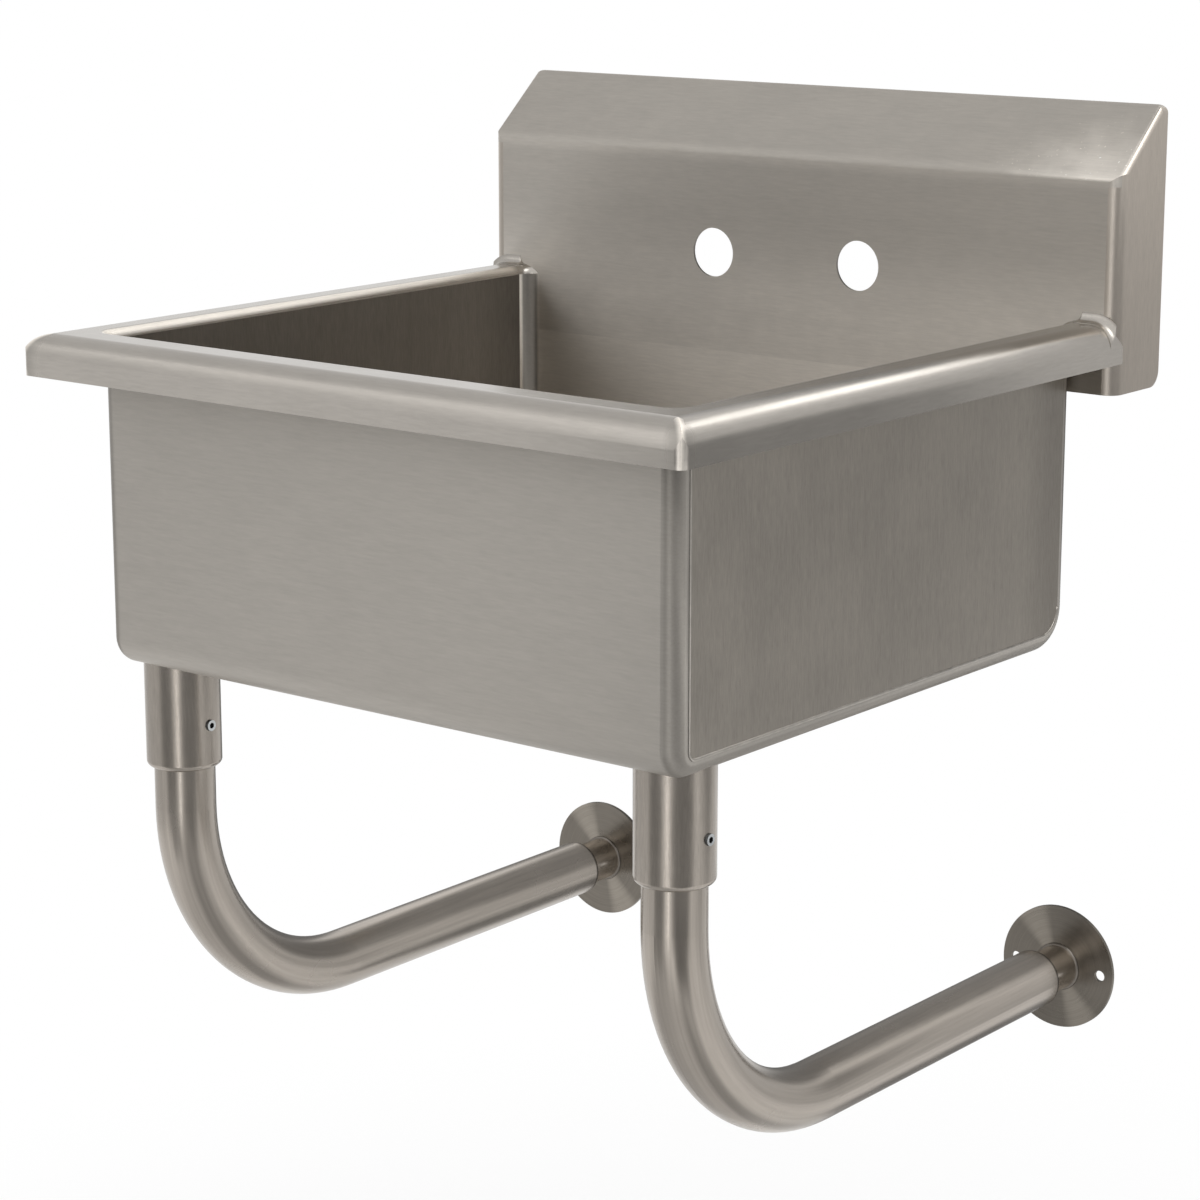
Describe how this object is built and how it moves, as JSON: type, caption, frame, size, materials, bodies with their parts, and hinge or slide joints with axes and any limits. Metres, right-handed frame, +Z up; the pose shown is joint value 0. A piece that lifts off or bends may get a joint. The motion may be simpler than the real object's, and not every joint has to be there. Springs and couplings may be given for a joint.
{
  "type": "wall-mounted hand sink",
  "caption": "Wall-mounted stainless hand sink: a coved bowl with a rolled rim, a sloped back splash drilled for a faucet, and J-shaped legs braced back to the wall.",
  "frame": {"origin": "on the wall plane, in the middle of the flange that turns down behind the splash's top edge", "axes": "+X to the right seen from the front, +Y into the wall, +Z up; the bowl stands out towards -Y"},
  "size_m": [0.438, 0.435, 0.5378],
  "materials": {
    "bowl_sheet": "satin brushed stainless sheet, fine upright grain on the sides, level grain on the front",
    "rim_sheet": "satin stainless, grain along the rim, welds polished bright",
    "splash_sheet": "satin brushed stainless sheet with level grain",
    "leg_tube": "polished and re-brushed stainless tube, grain round the tube",
    "wall_flange": "turned stainless disc with concentric marks",
    "set_screw_zinc": "bright zinc plate",
    "bush_zinc": "dull zinc plate",
    "bracket_sheet": "mill-finish stainless strip",
    "strainer_polished": "polished stainless",
    "gasket_rubber": "matt black rubber",
    "washer_fibre": "red-brown fibre"
  },
  "bodies": {
    "sink": {"bowl_wrap": "bowl_sheet", "bowl_side_left": "bowl_sheet", "bowl_side_right": "bowl_sheet", "rim_front": "rim_sheet", "rim_left": "rim_sheet", "rim_right": "rim_sheet", "splash_panel": "splash_sheet", "splash_cap_left": "splash_sheet", "splash_cap_right": "splash_sheet", "wall_bracket": "bracket_sheet", "leg_socket_left": "leg_tube", "leg_socket_right": "leg_tube", "set_screw_left": "set_screw_zinc", "set_screw_right": "set_screw_zinc", "strainer_body": "strainer_polished", "strainer_gasket": "gasket_rubber", "friction_washer": "washer_fibre", "locknut": "strainer_polished"},
    "leg_left": {"leg_left": "leg_tube", "leg_bush_left": "bush_zinc"},
    "leg_right": {"leg_right": "leg_tube", "leg_bush_right": "bush_zinc"},
    "foot_left": {"foot_stub_left": "leg_tube", "foot_flange_left": "wall_flange"},
    "foot_right": {"foot_stub_right": "leg_tube", "foot_flange_right": "wall_flange"},
    "basket": {"crumb_basket": "strainer_polished", "basket_post": "strainer_polished"}
  },
  "joints": [
    {"name": "leg_left_height", "type": "slide", "parent": "sink", "child": "leg_left", "axis": [0, 0, 1], "range_m": [-0.015, 0.01]},
    {"name": "leg_right_height", "type": "slide", "parent": "sink", "child": "leg_right", "axis": [0, 0, 1], "range_m": [-0.015, 0.01]},
    {"name": "foot_left_reach", "type": "slide", "parent": "leg_left", "child": "foot_left", "axis": [0, 1, 0], "range_m": [-0.012, 0.01]},
    {"name": "foot_right_reach", "type": "slide", "parent": "leg_right", "child": "foot_right", "axis": [0, 1, 0], "range_m": [-0.012, 0.01]},
    {"name": "basket_lift", "type": "slide", "parent": "sink", "child": "basket", "axis": [0, 0, 1], "range_m": [0, 0.25]}
  ]
}
